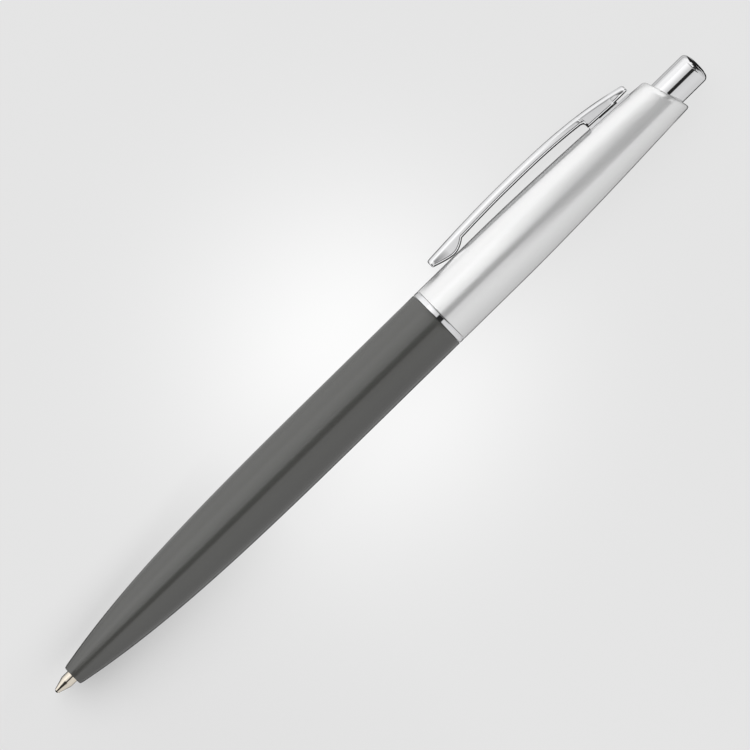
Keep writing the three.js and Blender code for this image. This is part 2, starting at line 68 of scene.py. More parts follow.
# Lower barrel
TIP_STICKOUT = 3.65
LOWER_LENGTH = 79.45
LOWER_POWER = 4.5
NOSE_RADIUS = 1.75
NOSE_ROUND = 0.2
NOSE_BORE = 1.2
NOSE_BORE_LENGTH = 5.6
SPRING_BORE = 1.85
SPRING_BORE_LENGTH = 17.75
LOWER_BORE = 3.09
BORE_CONE = 5
SPIGOT_RADIUS = 4.09
SPIGOT_BORE = 3.29
SPIGOT_LENGTH = 8
SPIGOT_LEAD = 0.5
THREAD_PITCH = 1.0
THREAD_DEPTH = 0.28
THREAD_START = 1.2
THREAD_END = 7.2

# Centre ring, with a fine groove near the upper barrel
RING_FROM = TIP_STICKOUT + LOWER_LENGTH
RING_LENGTH = 1
RING_BORE = 4.19
RING_GROOVE = 0.06
GROOVE_TO_END = 0.22

# Upper barrel, with a slot for the tongue of the clip's base
UPPER_FROM = RING_FROM + RING_LENGTH
UPPER_STRAIGHT = 13.5
UPPER_POWER = 1.6
UPPER_END = 133.3
TOP_RADIUS = 3.9
TOP_ROUND = 0.45
TOP_WALL = 0.6
TOP_SLOPE = math.tan(math.radians(17))
SLOPE_RUN = 7
SHELL_WALL = 0.35
BUTTON_HOLE = 2.8
TONGUE_FROM = 123.2
TONGUE_LENGTH = 3.6
TONGUE_HALF_WIDTH = 0.8
SLOT_ROOM = 0.1

# Push button
BUTTON_FROM = 122.3
BUTTON_RADIUS = 2.7
BUTTON_EDGE = 0.9
BUTTON_DOME = 0.15
BUTTON_FLAT = 1.1
BUTTON_WALL = 0.45
BUTTON_ROOF = 139.05
BUTTON_INSIDE = 2

# Refill point
BALL_RADIUS = 0.35
SOCKET_HOLLOW = 0.37
SOCKET_WALL = 0.07
SOCKET_LIP = 0.22
LIP_EDGE = 0.03
LIP_LENGTH = 0.35
LIP_SLOPE = 0.26
CAPILLARY = 0.2
POINT_CONE = 2.3
CONE_END_RUN = 0.05
CONE_END_DROP = 0.02
POINT_LENGTH = 5
POINT_STEM = 4
POINT_STEM_RADIUS = 0.7
NECK_RADIUS = 1.05

# Clip
CLIP_START = 88.3
CLIP_END = 129.3
CLIP_CREST = 103.8
CREST_HEIGHT = 8.12
TAIL_DROP = 0.62
TAIL_POWER = 1.6
ROOT_DROP = 2.28
ROOT_POWER = 2.83
ARM_DEPTH = 1.54
ARM_FROM = 94.85
FOOT_AT = 92.4
FOOT_FLAT = 0.5
FOOT_TAIL_POWER = 1.3
FOOT_ARM_POWER = 1.7
TAIL_FACE = 1.05
TAIL_ROUND = 0.35
ROOT_FROM = 120.9
ROOT_LIFT = 0.28
ROOT_CORNER = 0.5
NOTCH_RUN = 2.9
NOTCH_STEP = 0.14
NOTCH_RISE = 0.16
REAR_ROUND = 0.4
REAR_WALL = 0.8
CLIP_HALF = 1.45
CLIP_TAIL_HALF = 1.25
CLIP_CORNER = 1.0
CORNER_ROOM = 0.02
CLIP_SHEET = 0.42

# Side of the clip, from its lower edge: distance from the edge and how far it stands in
SIDE_LINE = [(0, 0.012), (0.20, 0), (0.31, 0.066), (0.41, 0.062), (0.43, 0.063)]
SIDE_LEAN = 0.13
LIP_ROOM = 0.1

# How far a section's lip is stretched where the clip's lower edge is steep, seen over a short run
STEEPEST = 1.6
STEEPNESS_RUN = 0.2

# Share of a rounded end's inset that its sections take, so that their corners stay apart
INSET_SHARE = 0.999

# Run between two points where the lower line has a sharp step
SHARP_RUN = 0.02

# Steps along the curves
LONG_STEPS = 90
BORE_STEPS = 40
FOOT_STEPS = 24
ARM_STEPS = 60
ROOT_STEPS = 16
NOTCH_STEPS = 8
UPRIGHT_STEPS = 4
FOOT_STATIONS = 60
CORNER_STATIONS = 40
CORNER_REACH = 1
STATION_DECIMALS = 4
HOLLOW_STATIONS = 61


# Profiles and curves
def clamped(value):
    return min(max(value, 0), 1)


def arc(s, radius, size, start, end, steps=8):
    """A quarter round of [s, radius] points about a centre, between two angles in degrees."""
    angles = np.radians(np.linspace(start, end, steps + 1))
    return [(s + size * math.cos(a), radius + size * math.sin(a)) for a in angles]


def along(curve, start, end, steps):
    """Points of a curve, which gives a radius or a height for each s."""
    return [(s, curve(s)) for s in np.linspace(start, end, steps + 1)]


def straight(radius, start, end, steps):
    """Points along a stretch of one radius."""
    return [(s, radius) for s in np.linspace(start, end, steps + 1)]


def lower_radius(s):
    share = clamped((s - TIP_STICKOUT) / LOWER_LENGTH)
    return NOSE_RADIUS + (BARREL_RADIUS - NOSE_RADIUS) * (1 - (1 - share) ** LOWER_POWER)


def upper_radius(s):
    straight_end = UPPER_FROM + UPPER_STRAIGHT
    share = max(s - straight_end, 0) / (UPPER_END - straight_end)
    return BARREL_RADIUS - (BARREL_RADIUS - TOP_RADIUS) * share**UPPER_POWER


# Meshes
def piece(name, vertices, faces, smooth_angle=30):
    """A mesh object from points in the pen's frame, smooth but for edges sharper than the angle."""
    mesh = bpy.data.meshes.new(name)
    mesh.from_pydata([PEN_TO_ROW @ Vector(v) for v in vertices], [], faces)
    mesh.validate()
    mesh.polygons.foreach_set("use_smooth", [True] * len(mesh.polygons))
    mesh.set_sharp_from_angle(angle=math.radians(smooth_angle))
    obj = bpy.data.objects.new(name, mesh)
    bpy.context.scene.collection.objects.link(obj)
    return obj


def turned(name, profile, sides=128, warp=None, smooth_angle=30):
    """A profile of [s, radius] points turned about the axis, its outer line towards +s.

    It closes on itself, or starts and ends on the axis. Warp may move each point: it takes s, the
    radius and an angle about the axis, and gives s and the radius."""
    vertices, rings = [], []
    for s, radius in profile:
        count = 1 if radius < TINY else sides
        rings.append(range(len(vertices), len(vertices) + count))
        for i in range(count):
            angle = 2 * math.pi * i / sides
            place, reach = warp(s, radius, angle) if warp else (s, radius)
            vertices.append((place, reach * math.cos(angle), reach * math.sin(angle)))
    faces = []
    closed = profile[0][1] > TINY
    for a, b in zip(rings, rings[1:] + rings[:1] if closed else rings[1:]):
        for i in range(sides):
            j = (i + 1) % sides
            corners = [a[i % len(a)], a[j % len(a)], b[j % len(b)], b[i % len(b)]]
            face = list(dict.fromkeys(corners))
            if len(face) > 2:
                faces.append(face[::-1])
    return piece(name, vertices, faces, smooth_angle)


def lofted(name, sections, smooth_angle=30):
    """A solid through sections with equal counts of points, closed at both ends."""
    count = len(sections[0])
    vertices = [point for section in sections for point in section]
    faces = []
    for row in range(len(sections) - 1):
        for k in range(count):
            a, b = row * count + k, row * count + (k + 1) % count
            faces.append((a, b, b + count, a + count)[::-1])
    last = (len(sections) - 1) * count
    faces.append(tuple(range(count)))
    faces.append(tuple(range(last, last + count))[::-1])
    return piece(name, vertices, faces, smooth_angle)


def cut(obj, cutter):
    """Takes the cutter's solid out of an object and deletes the cutter."""
    modifier = obj.modifiers.new("cut", "BOOLEAN")
    modifier.operation = "DIFFERENCE"
    modifier.solver = "EXACT"
    modifier.object = cutter
    bpy.context.view_layer.update()
    graph = bpy.context.evaluated_depsgraph_get()
    mesh = bpy.data.meshes.new_from_object(obj.evaluated_get(graph))
    obj.modifiers.clear()
    obj.data = mesh
    bpy.data.objects.remove(cutter)
    return obj


def make_lower_barrel():
    """The plastic shell, with the thread on its spigot."""
    shoulder = RING_FROM
    spigot_end = shoulder + SPIGOT_LENGTH
    spring_shoulder = TIP_STICKOUT + NOSE_BORE_LENGTH
    spring_end = spring_shoulder + SPRING_BORE_LENGTH
    profile = [
        *arc(TIP_STICKOUT + NOSE_ROUND, NOSE_RADIUS - NOSE_ROUND, NOSE_ROUND, 180, 96),
        *along(lower_radius, TIP_STICKOUT + 2 * NOSE_ROUND, shoulder - EDGE, LONG_STEPS),
        *arc(shoulder - EDGE, BARREL_RADIUS - EDGE, EDGE, 80, 0, steps=4),
        (shoulder, SPIGOT_RADIUS - THREAD_DEPTH),
        *straight(SPIGOT_RADIUS, shoulder + SEAT_GAP, spigot_end - SPIGOT_LEAD, LONG_STEPS),
        (spigot_end, SPIGOT_RADIUS - SPIGOT_LEAD),
        (spigot_end, SPIGOT_BORE),
        (spring_end + BORE_CONE, LOWER_BORE),
        (spring_end, SPRING_BORE),
        (spring_shoulder, SPRING_BORE),
        (spring_shoulder, NOSE_BORE),
        (TIP_STICKOUT, NOSE_BORE),
    ]

    def thread(s, radius, angle):
        """Cuts the spigot down to a crest that winds along it and fades out at both ends."""
        run = s - shoulder
        if radius < SPIGOT_RADIUS - TINY or not 0 < run < SPIGOT_LENGTH:
            return s, radius
        inside = min(run - THREAD_START, THREAD_END - run)
        depth = THREAD_DEPTH * clamped(inside / THREAD_PITCH + 1)
        wave = abs(((run / THREAD_PITCH - angle / (2 * math.pi)) % 1) - 0.5) * 4 - 0.5
        return s, radius - THREAD_DEPTH + depth * clamped(wave)

    return turned("lower_barrel_shell", profile, warp=thread)


def make_centre_ring():
    start, end = RING_FROM + SEAT_GAP, UPPER_FROM - SEAT_GAP
    groove = end - GROOVE_TO_END
    profile = [
        (start, RING_BORE),
        *arc(start + EDGE, BARREL_RADIUS - EDGE, EDGE, 180, 90, steps=5),
        (groove - RING_GROOVE, BARREL_RADIUS),
        (groove, BARREL_RADIUS - RING_GROOVE),
        (groove + RING_GROOVE, BARREL_RADIUS),
        *arc(end - FINE_EDGE, BARREL_RADIUS - FINE_EDGE, FINE_EDGE, 90, 0, steps=4),
        (end, RING_BORE),
    ]
    return turned("centre_ring_band", profile)


def make_upper_barrel():
    """The metal shell, with its oblique end, the button's hole and the slot for the clip's base."""
    end_inside = UPPER_END - TOP_WALL

    def inner_radius(s):
        return upper_radius(s) - SHELL_WALL

    profile = [
        *arc(UPPER_FROM + FINE_EDGE, BARREL_RADIUS - FINE_EDGE, FINE_EDGE, 180, 90, steps=4),
        *along(upper_radius, UPPER_FROM + EDGE, UPPER_END - TOP_ROUND, LONG_STEPS),
        *arc(UPPER_END - TOP_ROUND, TOP_RADIUS - TOP_ROUND, TOP_ROUND, 84, 0, steps=10),
        (UPPER_END, BUTTON_HOLE + FINE_EDGE),
        (UPPER_END - FINE_EDGE, BUTTON_HOLE),
        (end_inside, BUTTON_HOLE),
        *along(inner_radius, end_inside, UPPER_FROM + UPPER_STRAIGHT, BORE_STEPS),
        (UPPER_FROM, inner_radius(UPPER_FROM)),
    ]

    def oblique(s, radius, angle):
        """Slants the closed end, which lies further back on the clip's side."""
        share = clamped((s - UPPER_END + SLOPE_RUN) / SLOPE_RUN)
        return s - TOP_SLOPE * share**2 * (3 - 2 * share) * radius * math.cos(angle), radius

    barrel = turned("upper_barrel_shell", profile, warp=oblique)
    slot_middle = TONGUE_FROM + TONGUE_LENGTH / 2
    slot_reach = TONGUE_LENGTH / 2 + SLOT_ROOM
    half_width = TONGUE_HALF_WIDTH + SLOT_ROOM
    slot_height = BARREL_RADIUS + SLOT_ROOM
    sections = [
        [(s, slot_height + a * BARREL_RADIUS, b * half_width) for a, b in SQUARE]
        for s in (slot_middle - slot_reach, slot_middle + slot_reach)
    ]
    return cut(barrel, lofted("slot", sections))


def make_push_button():
    """The metal cap, open at its inner end, with a round edge and a slightly raised flat middle."""
    inner = BUTTON_RADIUS - BUTTON_WALL
    side_end = PEN_LENGTH - BUTTON_DOME - BUTTON_EDGE
    dome_edge = BUTTON_RADIUS - BUTTON_EDGE
    dome = [
        (PEN_LENGTH - BUTTON_DOME * ((r - BUTTON_FLAT) / (dome_edge - BUTTON_FLAT)) ** 2, r)
        for r in np.linspace(dome_edge, BUTTON_FLAT, 6)
    ]
    profile = [
        (BUTTON_ROOF, 0),
        (BUTTON_ROOF, inner),
        (BUTTON_FROM, inner),
        (BUTTON_FROM, BUTTON_RADIUS),
        *straight(BUTTON_RADIUS, UPPER_END - BUTTON_INSIDE, side_end - EDGE, steps=6),
        *arc(side_end, dome_edge, BUTTON_EDGE, 90, 0, steps=16),
        *dome[1:],
        (PEN_LENGTH, 0),
    ]
    return turned("push_button_cap", profile)


def make_writing_point():
    """The refill's point: a lip closed round the ball, a cone and a stem, with the ink's bore."""
    lip_angle = math.degrees(math.pi - math.acos((BALL_RADIUS - SOCKET_LIP) / SOCKET_HOLLOW))
    seat_angle = math.degrees(math.asin(CAPILLARY / SOCKET_HOLLOW))
    lip_radius = SOCKET_HOLLOW * math.sin(math.radians(lip_angle)) + SOCKET_WALL

    def lip(s):
        return lip_radius + (s - SOCKET_LIP) * LIP_SLOPE

    profile = [
        (SOCKET_LIP, lip_radius),
        *along(lip, SOCKET_LIP + LIP_EDGE, SOCKET_LIP + LIP_LENGTH, steps=4),
        (POINT_CONE - CONE_END_RUN, NECK_RADIUS - CONE_END_DROP),
        (POINT_CONE + CONE_END_RUN, NECK_RADIUS),
        (POINT_LENGTH, NECK_RADIUS),
        (POINT_LENGTH, POINT_STEM_RADIUS),
        (POINT_LENGTH + POINT_STEM, POINT_STEM_RADIUS),
        (POINT_LENGTH + POINT_STEM, CAPILLARY),
        *arc(BALL_RADIUS, 0, SOCKET_HOLLOW, seat_angle, lip_angle, steps=12),
    ]
    return turned("writing_point_cone", profile, sides=64)


def make_writing_ball():
    profile = [(s, max(r, 0)) for s, r in arc(BALL_RADIUS, 0, BALL_RADIUS, 180, 0, steps=32)]
    return turned("writing_ball_sphere", profile, sides=64)


# Clip lines, as heights above the pen's axis
def clip_top(s):
    if s < CLIP_CREST:
        share = (CLIP_CREST - s) / (CLIP_CREST - CLIP_START)
        return CREST_HEIGHT - TAIL_DROP * share**TAIL_POWER
    share = (s - CLIP_CREST) / (CLIP_END - CLIP_CREST)
    return CREST_HEIGHT - ROOT_DROP * share**ROOT_POWER


def arm_underside(s):
    return clip_top(s) - ARM_DEPTH


def root_underside(s):
    return upper_radius(s) + ROOT_LIFT


def notch_underside(s):
    notch_from = CLIP_END - NOTCH_RUN
    return root_underside(s) + NOTCH_STEP + NOTCH_RISE * (s - notch_from) / NOTCH_RUN


def clip_half(s):
    """Half the clip's width, which grows from its tail to its root."""
    share = clamped((s - CLIP_START) / (ROOT_FROM - CLIP_START))
    return CLIP_TAIL_HALF + (CLIP_HALF - CLIP_TAIL_HALF) * share


def clip_underline():
    """The clip's lower line: tail, foot on the barrel, arm, and root over its base."""
    foot = upper_radius(FOOT_AT) + SEAT_GAP
    tail_to = CLIP_START + TAIL_ROUND
    tail = clip_top(CLIP_START) - TAIL_FACE - TAIL_ROUND
    foot_from = FOOT_AT - FOOT_FLAT
    arm = arm_underside(ARM_FROM)

    def tail_side(s):
        return foot + (tail - foot) * ((foot_from - s) / (foot_from - tail_to)) ** FOOT_TAIL_POWER

    def arm_side(s):
        return foot + (arm - foot) * ((s - FOOT_AT) / (ARM_FROM - FOOT_AT)) ** FOOT_ARM_POWER

    corner_at = ROOT_FROM - ROOT_CORNER
    corner_height = arm_underside(ROOT_FROM) - ROOT_CORNER
    notch_from = CLIP_END - NOTCH_RUN
    return [
        *along(tail_side, tail_to, foot_from, FOOT_STEPS),
        *along(arm_side, FOOT_AT, ARM_FROM, FOOT_STEPS)[:-1],
        *along(arm_underside, ARM_FROM, corner_at, ARM_STEPS),
        *arc(corner_at, corner_height, ROOT_CORNER, 90, 0, steps=10)[1:],
        *along(root_underside, ROOT_FROM + SHARP_RUN, notch_from - SHARP_RUN, ROOT_STEPS),
        *along(notch_underside, notch_from, CLIP_END - REAR_ROUND, NOTCH_STEPS),
    ]


def distances(points, line):
    """The least distance from each point to a line of points."""
    points = np.asarray(points, float)
    best = np.full(len(points), np.inf)
    for a, b in zip(np.asarray(line[:-1]), np.asarray(line[1:])):
        step = b - a
        share = np.clip((points - a) @ step / (step @ step), 0, 1)
        gap = np.linalg.norm(points - a - share[:, None] * step, axis=1)
        best = np.minimum(best, gap)
    return best


def clip_section(s, low, inset, line=None, steep=1, edge_rows=18, corner_rows=14):
    """The clip's section at s, from the height low: lips, sides, round corners and a flat top.

    The inset draws all of it in. With a line, the sides lean in and follow SIDE_LINE from it."""
    lean = math.atan(SIDE_LEAN) if line else 0
    half = clip_half(s) - inset
    centre = clip_top(s) - CLIP_CORNER
    lip_top = min(low + SIDE_LINE[-1][0] * steep, centre - LIP_ROOM)
    side_top = centre + (CLIP_CORNER - inset) * math.sin(lean)
    side_half = half - max(side_top - lip_top, 0) * math.tan(lean)
    corner = min(CLIP_CORNER - inset, side_half / math.cos(lean) - CORNER_ROOM)
    centre = clip_top(s) - inset - corner
    side_top = centre + corner * math.sin(lean)

    edge = np.linspace(low, lip_top, edge_rows + 1)
    upright = np.linspace(lip_top, side_top, UPRIGHT_STEPS + 1)[1:]
    angles = np.linspace(lean, math.pi / 2, corner_rows + 1)[1:]
    heights = np.concatenate([edge, upright, centre + corner * np.sin(angles)])
    widths = half - np.clip(heights - lip_top, 0, side_top - lip_top) * math.tan(lean)
    widths[-corner_rows:] += corner * (np.cos(angles) - math.cos(lean))
    if line:
        gaps = distances([(s, h) for h in heights], line)
        reach, insets = zip(*SIDE_LINE)
        widths = widths - np.interp(gaps, reach, insets)
    side = [(s, h, w) for h, w in zip(heights, widths)]
    return side + [(at, h, -w) for at, h, w in side[::-1]]


def end_insets(size, steps=6):
    """Distances from an end face and the insets there that round its edges."""
    runs = size * (1 - np.cos(np.linspace(0, math.pi / 2, steps + 1)))
    return [(run, size - math.sqrt(size**2 - (size - run) ** 2)) for run in runs]


def make_clip():
    """The clip through its sections, with both ends rounded, hollowed from below behind its foot."""
    line = clip_underline()
    tail_low, rear_low = line[0][1], line[-1][1]
    stations, lows = np.array(line).T
    extra = np.concatenate([
        np.linspace(CLIP_START + TAIL_ROUND, ARM_FROM, FOOT_STATIONS),
        np.linspace(ROOT_FROM - ROOT_CORNER, ROOT_FROM + CORNER_REACH, CORNER_STATIONS),
    ])
    places = sorted(set(np.round(np.concatenate([stations, extra]), STATION_DECIMALS)))
    low_at = np.interp(places, stations, lows)
    ahead, behind = (
        np.interp(np.array(places) + run, stations, lows)
        for run in (STEEPNESS_RUN, -STEEPNESS_RUN)
    )
    steep_at = np.hypot(1, (ahead - behind) / (2 * STEEPNESS_RUN))
    sections = [
        clip_section(s, low, 0, line, min(steep, STEEPEST))
        for s, low, steep in zip(places, low_at, steep_at)
    ]
    tail = [
        clip_section(CLIP_START + run, tail_low + inset, inset * INSET_SHARE, line)
        for run, inset in end_insets(TAIL_ROUND)[:-1]
    ]
    rear_rise = SEAT_GAP / REAR_ROUND
    rear = [
        clip_section(CLIP_END - run, rear_low + inset * rear_rise, inset * INSET_SHARE, line)
        for run, inset in end_insets(REAR_ROUND)[:-1]
    ]
    clip = lofted("clip_channel", tail + sections + rear[::-1], smooth_angle=18)
    places = np.linspace(ARM_FROM - SEAT_GAP, CLIP_END - REAR_WALL, HOLLOW_STATIONS)
    hollow = [clip_section(s, 0, CLIP_SHEET, edge_rows=1) for s in places]
    return cut(clip, lofted("hollow", hollow))


# Node materials
def grey(level):
    return (level, level, level, 1)


def shade(colour, share):
    return (*[channel * share for channel in colour], 1)


class Nodes:
    """Short calls for building one node tree. A value is a number, a colour or a socket."""

    def __init__(self, tree):
        self.tree = tree

    def add(self, kind, **values):
        node = self.tree.nodes.new(kind)
        for key, value in values.items():
            setattr(node, key, value)
        return node

    def link(self, source, target):
        self.tree.links.new(source, target)

    def put(self, value, socket):
        if isinstance(value, bpy.types.NodeSocket):
            self.link(value, socket)
        else:
            socket.default_value = value

    def maths(self, operation, *values, clamp=False):
        node = self.add("ShaderNodeMath", operation=operation, use_clamp=clamp)
        for socket, value in zip(node.inputs, values):
            self.put(value, socket)
        return node.outputs[0]

    def mix(self, factor, first, second):
        node = self.add("ShaderNodeMix", data_type="RGBA")
        self.put(factor, node.inputs["Factor"])
        self.put(first, node.inputs["A"])
        self.put(second, node.inputs["B"])
        return node.outputs["Result"]

    def noise(self, coordinates, scale, detail=2.0, roughness=0.5):
        node = self.add("ShaderNodeTexNoise")
        node.inputs["Scale"].default_value = scale
        node.inputs["Detail"].default_value = detail
        node.inputs["Roughness"].default_value = roughness
        self.link(coordinates, node.inputs["Vector"])
        return node.outputs["Fac"]

    def stretched(self, coordinates, scales):
        node = self.add("ShaderNodeMapping")
        node.inputs["Scale"].default_value = scales
        self.link(coordinates, node.inputs["Vector"])
        return node.outputs["Vector"]

    def ranged(self, value, low, high, start=0.3, end=0.7):
        """From low to high as the value goes from start to end, which are set to suit a noise."""
        node = self.add("ShaderNodeMapRange")
        node.inputs["From Min"].default_value = start
        node.inputs["From Max"].default_value = end
        node.inputs["To Min"].default_value = low
        node.inputs["To Max"].default_value = high
        self.link(value, node.inputs["Value"])
        return node.outputs["Result"]

    def inside(self, value, start, end):
        """How far a value lies within a stretch, measured from its nearer end."""
        past_start = self.maths("SUBTRACT", value, start)
        before_end = self.maths("SUBTRACT", end, value)
        return self.maths("MINIMUM", past_start, before_end)

    def bump(self, height, distance, strength=1.0):
        node = self.add("ShaderNodeBump")
        node.inputs["Strength"].default_value = strength
        node.inputs["Distance"].default_value = distance
        self.link(height, node.inputs["Height"])
        return node.outputs["Normal"]


# Grains per metre along x, y and z, and the soft patches that go with them
ALONG = (90, 9000, 9000)
ROUND = (9000, 400, 400)
FINE = (4000, 4000, 4000)
PATCHES = 140.0
STREAK_SHARE = 0.6


def material(
    name, colour, metallic, roughness, spread, grain, relief, tone=0.06, specular=0.5, ior=1.5
):
    """One finish: tone varies the colour, spread the roughness, relief is the grain's in metres."""
    result = bpy.data.materials.new(name)
    result.use_nodes = True
    nodes = Nodes(result.node_tree)
    shader = result.node_tree.nodes["Principled BSDF"]
    shader.inputs["Metallic"].default_value = metallic
    shader.inputs["Specular IOR Level"].default_value = specular
    shader.inputs["IOR"].default_value = ior
    place = nodes.add("ShaderNodeTexCoord").outputs["Object"]
    streaks = nodes.noise(nodes.stretched(place, grain), 1.0, detail=3)
    patches = nodes.noise(place, PATCHES)
    streak_part = nodes.maths("MULTIPLY", streaks, STREAK_SHARE)
    patch_part = nodes.maths("MULTIPLY", patches, 1 - STREAK_SHARE)
    blend = nodes.maths("ADD", streak_part, patch_part)
    dark, light = shade(colour, 1 - tone), shade(colour, 1 + tone)
    nodes.link(nodes.mix(nodes.ranged(blend, 0, 1), dark, light), shader.inputs["Base Color"])
    uneven = nodes.ranged(blend, roughness - spread, roughness + spread)
    nodes.link(uneven, shader.inputs["Roughness"])
    nodes.link(nodes.bump(streaks, relief), shader.inputs["Normal"])
    return result


FINISHES = {
    "barrel_plastic": dict(
        colour=(0.052, 0.052, 0.0485), metallic=0, roughness=0.18, spread=0.02,
        grain=FINE, relief=4e-7, tone=0.03, specular=0.8, ior=1.6,
    ),
    "polished_chrome": dict(
        colour=(0.93, 0.93, 0.94), metallic=1, roughness=0.04, spread=0.015,
        grain=ROUND, relief=1e-7, tone=0.01,
    ),
    "clip_chrome": dict(
        colour=(0.93, 0.93, 0.94), metallic=1, roughness=0.05, spread=0.02,
        grain=ALONG, relief=1e-7, tone=0.01,
    ),
    "satin_metal": dict(
        colour=(0.86, 0.86, 0.86), metallic=0.675, roughness=0.19, spread=0.02,
        grain=ALONG, relief=4e-7, tone=0.012,
    ),
    "bush_brass": dict(
        colour=(0.72, 0.53, 0.22), metallic=1, roughness=0.28, spread=0.05,
        grain=ROUND, relief=2e-6,
    ),
    "housing_plastic": dict(
        colour=(0.80, 0.80, 0.77), metallic=0, roughness=0.42, spread=0.05,
        grain=FINE, relief=3e-6, tone=0.03,
    ),
    "mechanism_plastic": dict(
        colour=(0.62, 0.62, 0.58), metallic=0, roughness=0.38, spread=0.05,
        grain=FINE, relief=3e-6, tone=0.03,
    ),
    "refill_brass": dict(
        colour=(0.66, 0.53, 0.28), metallic=1, roughness=0.24, spread=0.05,
        grain=ALONG, relief=1e-6,
    ),
    "nickel_silver": dict(
        colour=(0.93, 0.85, 0.73), metallic=1, roughness=0.12, spread=0.03,
        grain=ROUND, relief=6e-7, tone=0.03,
    ),
    "ball_carbide": dict(
        colour=(0.02, 0.018, 0.016), metallic=0.3, roughness=0.25, spread=0.05,
        grain=FINE, relief=3e-7,
    ),
    "ink_paste": dict(
        colour=(0.012, 0.016, 0.07), metallic=0, roughness=0.3, spread=0.08,
        grain=FINE, relief=4e-6,
    ),
    "spring_steel": dict(
        colour=(0.56, 0.57, 0.59), metallic=1, roughness=0.22, spread=0.05,
        grain=ROUND, relief=1e-6,
    ),
}
MATERIALS = {slot: material(slot, **finish) for slot, finish in FINISHES.items()}
SLOTS = {entry["node"]: entry["material_slot"] for entry in frame["record"]["subparts"]}


def dress(obj, slot):
    obj.data.materials.clear()
    obj.data.materials.append(MATERIALS[slot])


for name, node in frame["nodes"].items():
    dress(node, SLOTS[name])

# Finer shells in place of the nodes that show: node, body and what makes it
SHELLS = [
    ("lower_barrel", "lower_barrel", make_lower_barrel),
    ("centre_ring", "centre_ring", make_centre_ring),
    ("upper_barrel", "upper_barrel", make_upper_barrel),
    ("clip", "upper_barrel", make_clip),
    ("push_button", "button", make_push_button),
    ("writing_point", "refill", make_writing_point),
    ("writing_ball", "ball", make_writing_ball),
]
for node, body, make in SHELLS:
    shell = make()
    dress(shell, SLOTS[node])
    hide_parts(node)
    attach(shell, body)

# Camera: square to the pen's side, which slants across the picture
PICTURE_WIDTH = 0.11697
CAMERA_DISTANCE = 1.5
SENSOR = 36
FARTHEST_SEEN = 20
SLANT_COS, SLANT_SIN = 0.71459, 0.69954
TARGET_X, TARGET_CLIPWARD = 0.000163, 0.000524


def make_camera():
    right = Vector((SLANT_COS, 0, 0)) - SLANT_SIN * CLIP_SIDE
    up = Vector((SLANT_SIN, 0, 0)) + SLANT_COS * CLIP_SIDE
    target = Vector((TARGET_X, AXIS_Y, AXIS_Z)) + TARGET_CLIPWARD * CLIP_SIDE
    turn = Matrix((right, up, FACE_SIDE)).transposed().to_4x4()
    camera = bpy.data.objects.new("camera", bpy.data.cameras.new("camera"))
    camera.data.sensor_width = SENSOR
    camera.data.lens = SENSOR * CAMERA_DISTANCE / PICTURE_WIDTH
    camera.data.clip_end = FARTHEST_SEEN
    camera.matrix_world = Matrix.Translation(target + CAMERA_DISTANCE * FACE_SIDE) @ turn
    bpy.context.scene.collection.objects.link(camera)
    bpy.context.scene.camera = camera


make_camera()
bpy.context.scene.view_settings.view_transform = "Standard"

# Floor: pale, with a painted pool of light that makes it lighter in the middle, and the pen's soft
# shadow, partly filled in by painted glow
FLOOR_HALF = 3.0
PALE = 0.785
WHITE = 1.0
PAINTED_GLOW_RADIUS = 0.0265

# Share of the floor's light that is its own, a painted glow: the rest is lit, and takes the pen's
# shadow. The glow is less towards the tip, away from the clip's side, so that the shadow shows
# there, and fills it in elsewhere
TIP_GLOW, MAIN_GLOW = 0.45, 0.92
TIP_GLOW_TO, MAIN_GLOW_FROM = -0.062, -0.025
CLIP_SIDE_GLOW_FROM = 0.008

# What reflections see of the floor, painted for them alone: white on the clip's side, grey painted
# shade on the other, a share of it glowing
MIRRORED_SHADE_GREY, MIRRORED_WHITE = 0.62, 0.99
GREY_TO, WHITE_FROM = 0.004, 0.011
MIRRORED_GLOW = 0.6

# Dark patches of painted shade on the floor, seen only in reflections, where they paint dark
# reflections on the metal: x from, x to, y from, y to. In order: under the lower barrel, the upper
# barrel, the clip's arm, its root, three under the button, one beyond
PAINTED_SHADE_PATCHES = [
    (-0.078, 0.014, -0.020, 0.0026),
    (0.011, 0.0625, -0.020, 0.0041),
    (0.0145, 0.050, -0.020, 0.0068),
    (0.046, 0.0575, -0.020, 0.0064),
    (0.060, 0.088, -0.024, -0.004),
    (0.060, 0.088, 0.0006, 0.0022),
    (0.060, 0.088, 0.0038, 0.0050),
    (0.0655, 0.300, -0.014, -0.002),
]
PAINTED_SHADE_SOFT_X, PAINTED_SHADE_SOFT_Y = 0.003, 0.0012
PAINTED_SHADE_LEVEL = 0.02

# A wedge of painted shade beyond the button's end, seen only in reflections as a painted dark
# reflection, its point towards the pen, above a lowest y
SHADE_WEDGE_FROM, SHADE_WEDGE_SLOPE, SHADE_WEDGE_Y_FROM = 0.0715, 0.9, -0.004


def covered_by_painted_shade(nodes, x, y):
    """0 beside the patches and the wedge of painted shade, and from their soft edges inwards up to 1
    and more.
    """
    covered = 0.0
    for x_from, x_to, y_from, y_to in PAINTED_SHADE_PATCHES:
        along_x = nodes.maths("DIVIDE", nodes.inside(x, x_from, x_to), PAINTED_SHADE_SOFT_X)
        along_y = nodes.maths("DIVIDE", nodes.inside(y, y_from, y_to), PAINTED_SHADE_SOFT_Y)
        covered = nodes.maths("MAXIMUM", covered, nodes.maths("MINIMUM", along_x, along_y))
    spread = nodes.maths("MULTIPLY", nodes.maths("ABSOLUTE", y), SHADE_WEDGE_SLOPE)
    ahead = nodes.maths("SUBTRACT", nodes.maths("SUBTRACT", x, SHADE_WEDGE_FROM), spread)
    above = nodes.maths("SUBTRACT", y, SHADE_WEDGE_Y_FROM)
    wedge = nodes.maths("DIVIDE", nodes.maths("MINIMUM", ahead, above), PAINTED_SHADE_SOFT_Y)
    return nodes.maths("MAXIMUM", covered, wedge)


